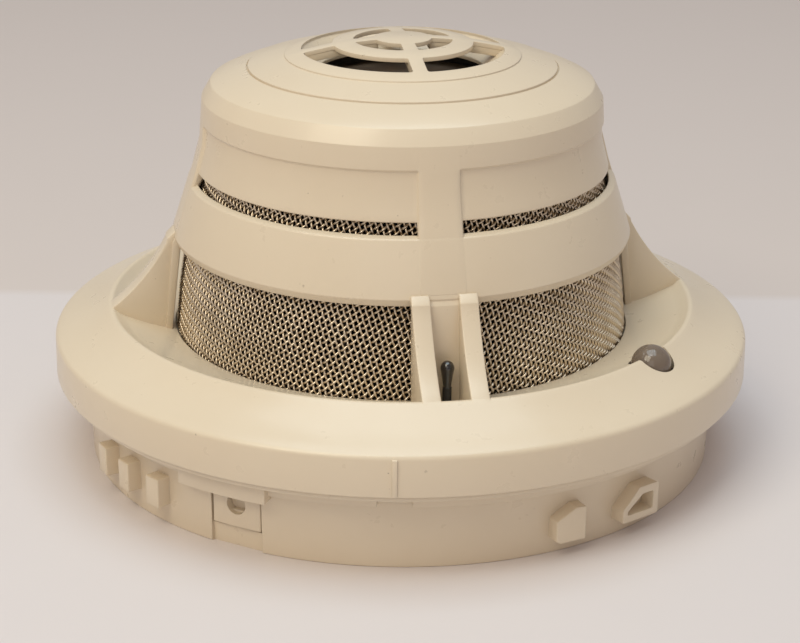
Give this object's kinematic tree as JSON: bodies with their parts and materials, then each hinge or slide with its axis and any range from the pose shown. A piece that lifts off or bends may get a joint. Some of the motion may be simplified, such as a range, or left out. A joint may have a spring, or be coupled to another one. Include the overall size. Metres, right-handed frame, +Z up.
{
  "type": "smoke detector",
  "caption": "Round plug-in smoke detector head with a wide flange, screened air slots, a heat sensor bead, an indicator lens and a sounder behind a round top grille.",
  "frame": {"origin": "centre of the skirt's bottom rim, at the lowest point", "axes": "+Z up through the dome's grille, -Y towards the heat sensor, +X to the right seen from the sensor's side"},
  "size_m": [0.117, 0.117, 0.0691],
  "materials": {
    "ivory_plastic": "fine satin gloss, moulded",
    "black_plastic": "matt black",
    "screen_steel": "bright woven wire",
    "steel": "bright",
    "brass": "spring brass",
    "board": "solder-masked laminate",
    "smoked_lens": "smoky clear moulding",
    "white_resin": "moulded resin",
    "optic_resin": "tinted resin",
    "bead": "glossy epoxy bead",
    "diaphragm": "dark grey lacquered brass",
    "gasket": "soft foam rubber",
    "lead": "red insulation"
  },
  "bodies": {
    "base": {"base_moulding": "ivory_plastic", "latch_pin": "steel", "latch_spring": "steel", "contact_blade_1": "brass", "contact_blade_2": "brass", "contact_blade_3": "brass", "contact_blade_4": "brass", "contact_posts": "brass", "main_board": "board", "board_screws": "steel", "microcontroller": "black_plastic", "smoothing_capacitor": "black_plastic", "sounder_transformer": "black_plastic", "board_header": "black_plastic", "indicator_led": "white_resin", "light_pipe": "smoked_lens", "thermistor": "bead", "thermistor_sleeve": "black_plastic", "chamber_base": "black_plastic", "labyrinth": "black_plastic", "chamber_lid": "black_plastic", "ir_emitter": "optic_resin", "photodiode": "optic_resin", "photodiode_shield": "steel", "sounder_carrier": "black_plastic", "carrier_screws": "steel", "sounder_housing": "black_plastic", "piezo_disc": "brass", "sounder_diaphragm": "diaphragm", "sounder_front": "black_plastic", "sounder_gasket": "gasket", "sounder_lead": "lead"},
    "cover": {"outer_cover": "ivory_plastic", "insect_screen": "screen_steel", "screen_retainer": "ivory_plastic"},
    "latch": {"locking_latch": "ivory_plastic"}
  },
  "joints": [
    {"name": "cover_lift", "type": "slide", "parent": "base", "child": "cover", "axis": [0, 0, 1], "range_m": [0, 0.06]},
    {"name": "latch_press", "type": "hinge", "parent": "base", "child": "latch", "pos_m": [-0.03107, -0.04006, 0.009], "axis": [0.7902, -0.6129, 0], "range_deg": [0, 8], "stiffness_Nm_per_rad": 0.01, "springref_deg": -11.46, "deforming": ["latch_spring"]}
  ]
}
